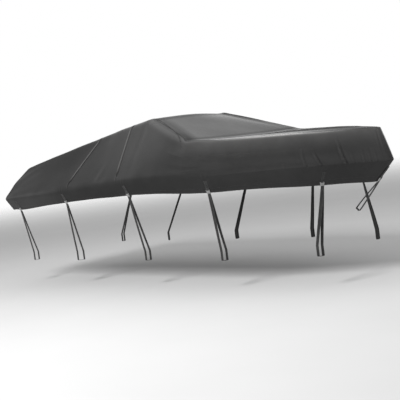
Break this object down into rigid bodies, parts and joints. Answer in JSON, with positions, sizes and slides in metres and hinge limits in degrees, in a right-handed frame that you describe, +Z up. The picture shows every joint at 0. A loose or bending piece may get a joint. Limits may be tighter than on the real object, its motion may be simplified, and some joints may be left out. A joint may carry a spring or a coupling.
{
  "type": "boat cover",
  "caption": "Fitted, sewn boat cover with a raised ridge and a flat bow deck, open below, with webbing tie-downs that hang from buckles at its hem.",
  "frame": {"origin": "on the centreline, on the underside of the cloth at the ridge, which is the cover's highest line", "axes": "+X to the bow, +Y to port, +Z up"},
  "size_m": [5.9951, 2.443, 1.7965],
  "materials": {
    "cloth": "matte woven polyester canvas",
    "webbing": "matte ribbed webbing",
    "buckle": "satin moulded plastic"
  },
  "bodies": {
    "root": {"buckle_bow": "buckle", "buckle_port_1": "buckle", "buckle_port_2": "buckle", "buckle_port_3": "buckle", "buckle_port_4": "buckle", "buckle_port_5": "buckle", "buckle_starboard_1": "buckle", "buckle_starboard_2": "buckle", "buckle_starboard_3": "buckle", "buckle_starboard_4": "buckle", "buckle_starboard_5": "buckle", "side_aft_port": "cloth", "side_aft_starboard": "cloth", "side_fore_port": "cloth", "side_fore_starboard": "cloth", "side_mid_port": "cloth", "side_mid_starboard": "cloth", "stern_panel": "cloth", "strap_bow": "webbing", "strap_port_1": "webbing", "strap_port_2": "webbing", "strap_port_3": "webbing", "strap_port_4": "webbing", "strap_port_5": "webbing", "strap_starboard_1": "webbing", "strap_starboard_2": "webbing", "strap_starboard_3": "webbing", "strap_starboard_4": "webbing", "strap_starboard_5": "webbing", "tab_bow": "webbing", "tab_port_1": "webbing", "tab_port_2": "webbing", "tab_port_3": "webbing", "tab_port_4": "webbing", "tab_port_5": "webbing", "tab_starboard_1": "webbing", "tab_starboard_2": "webbing", "tab_starboard_3": "webbing", "tab_starboard_4": "webbing", "tab_starboard_5": "webbing", "top_panel": "cloth"}
  },
  "joints": []
}
